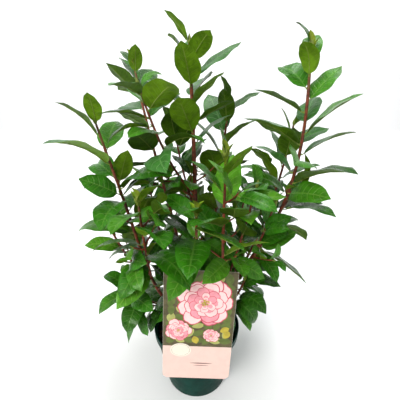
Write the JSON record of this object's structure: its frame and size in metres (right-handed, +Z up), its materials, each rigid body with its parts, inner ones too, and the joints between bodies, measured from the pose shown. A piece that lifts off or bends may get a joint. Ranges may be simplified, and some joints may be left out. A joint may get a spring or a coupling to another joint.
{
  "type": "potted camellia shrub",
  "caption": "Young evergreen shrub with upright stems and glossy pointed leaves, in a round tapered nursery pot with a picture card hooked over its rim.",
  "frame": {"origin": "centre of the pot's flat underside, on the ground", "axes": "+Z up along the pot's axis, -Y towards the front with the picture card, +X to the right seen from the front"},
  "size_m": [0.4613, 0.3933, 0.6698],
  "materials": {
    "pot": "dark blue-green moulded plastic, satin",
    "compost": "damp fibrous potting compost",
    "card": "printed card with a satin coat",
    "bark": "smooth reddish brown bark",
    "foliage": "glossy deep green above, paler olive beneath"
  },
  "bodies": {
    "root": {"pot": "pot", "compost": "compost", "picture_card": "card", "trunk": "bark", "bough_left": "bark", "bough_left_back": "bark", "bough_right": "bark", "bough_front": "bark", "bough_right_mid": "bark", "bough_right_back": "bark", "bough_centre_low": "bark", "bough_left_inner": "bark", "bough_left_twig": "bark", "bough_left_low": "bark", "bough_middle_left": "bark", "bough_middle_back": "bark", "bough_right_twig": "bark", "bough_right_inner": "bark", "bough_right_low": "bark", "bough_back_left": "bark", "bough_back_right": "bark", "bough_back": "bark", "mass_middle": "foliage", "mass_left": "foliage", "mass_left_back": "foliage", "mass_right": "foliage", "mass_front": "foliage", "mass_right_mid": "foliage", "mass_right_back": "foliage", "mass_centre_low": "foliage", "mass_left_inner": "foliage", "mass_left_twig": "foliage", "mass_left_low": "foliage", "mass_middle_left": "foliage", "mass_middle_back": "foliage", "mass_right_twig": "foliage", "mass_right_inner": "foliage", "mass_right_low": "foliage", "mass_back_left": "foliage", "mass_back_right": "foliage", "mass_back": "foliage"}
  },
  "joints": []
}
